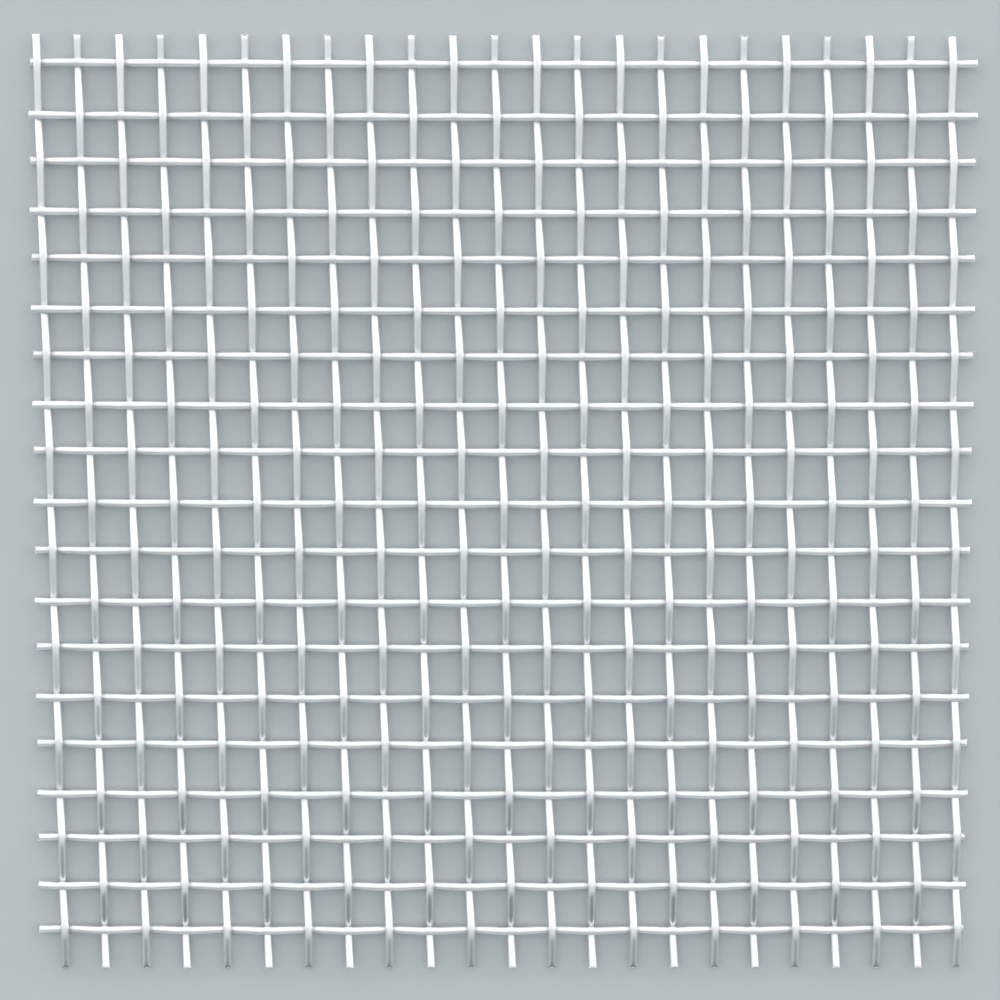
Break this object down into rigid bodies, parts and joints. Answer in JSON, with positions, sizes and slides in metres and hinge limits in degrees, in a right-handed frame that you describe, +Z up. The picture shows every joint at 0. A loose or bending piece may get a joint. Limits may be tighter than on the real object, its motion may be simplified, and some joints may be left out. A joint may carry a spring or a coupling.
{
  "type": "woven wire insect screen",
  "caption": "Square piece of plain-woven aluminium insect screen, each round wire a solid of its own, lying flat with sheared edges.",
  "frame": {"origin": "the middle of the piece, on the level that its lowest crests rest on", "axes": "+X along the fill wires, +Y along the warp wires (the length of the roll it is cut from), +Z up out of the sheet"},
  "size_m": [0.0322, 0.0322, 0.0005],
  "materials": {
    "aluminium_wire": "satin"
  },
  "bodies": {
    "root": {"warp_wire_01": "aluminium_wire", "warp_wire_02": "aluminium_wire", "warp_wire_03": "aluminium_wire", "warp_wire_04": "aluminium_wire", "warp_wire_05": "aluminium_wire", "warp_wire_06": "aluminium_wire", "warp_wire_07": "aluminium_wire", "warp_wire_08": "aluminium_wire", "warp_wire_09": "aluminium_wire", "warp_wire_10": "aluminium_wire", "warp_wire_11": "aluminium_wire", "warp_wire_12": "aluminium_wire", "warp_wire_13": "aluminium_wire", "warp_wire_14": "aluminium_wire", "warp_wire_15": "aluminium_wire", "warp_wire_16": "aluminium_wire", "warp_wire_17": "aluminium_wire", "warp_wire_18": "aluminium_wire", "warp_wire_19": "aluminium_wire", "warp_wire_20": "aluminium_wire", "warp_wire_21": "aluminium_wire", "warp_wire_22": "aluminium_wire", "warp_wire_23": "aluminium_wire", "fill_wire_01": "aluminium_wire", "fill_wire_02": "aluminium_wire", "fill_wire_03": "aluminium_wire", "fill_wire_04": "aluminium_wire", "fill_wire_05": "aluminium_wire", "fill_wire_06": "aluminium_wire", "fill_wire_07": "aluminium_wire", "fill_wire_08": "aluminium_wire", "fill_wire_09": "aluminium_wire", "fill_wire_10": "aluminium_wire", "fill_wire_11": "aluminium_wire", "fill_wire_12": "aluminium_wire", "fill_wire_13": "aluminium_wire", "fill_wire_14": "aluminium_wire", "fill_wire_15": "aluminium_wire", "fill_wire_16": "aluminium_wire", "fill_wire_17": "aluminium_wire", "fill_wire_18": "aluminium_wire", "fill_wire_19": "aluminium_wire"}
  },
  "joints": []
}
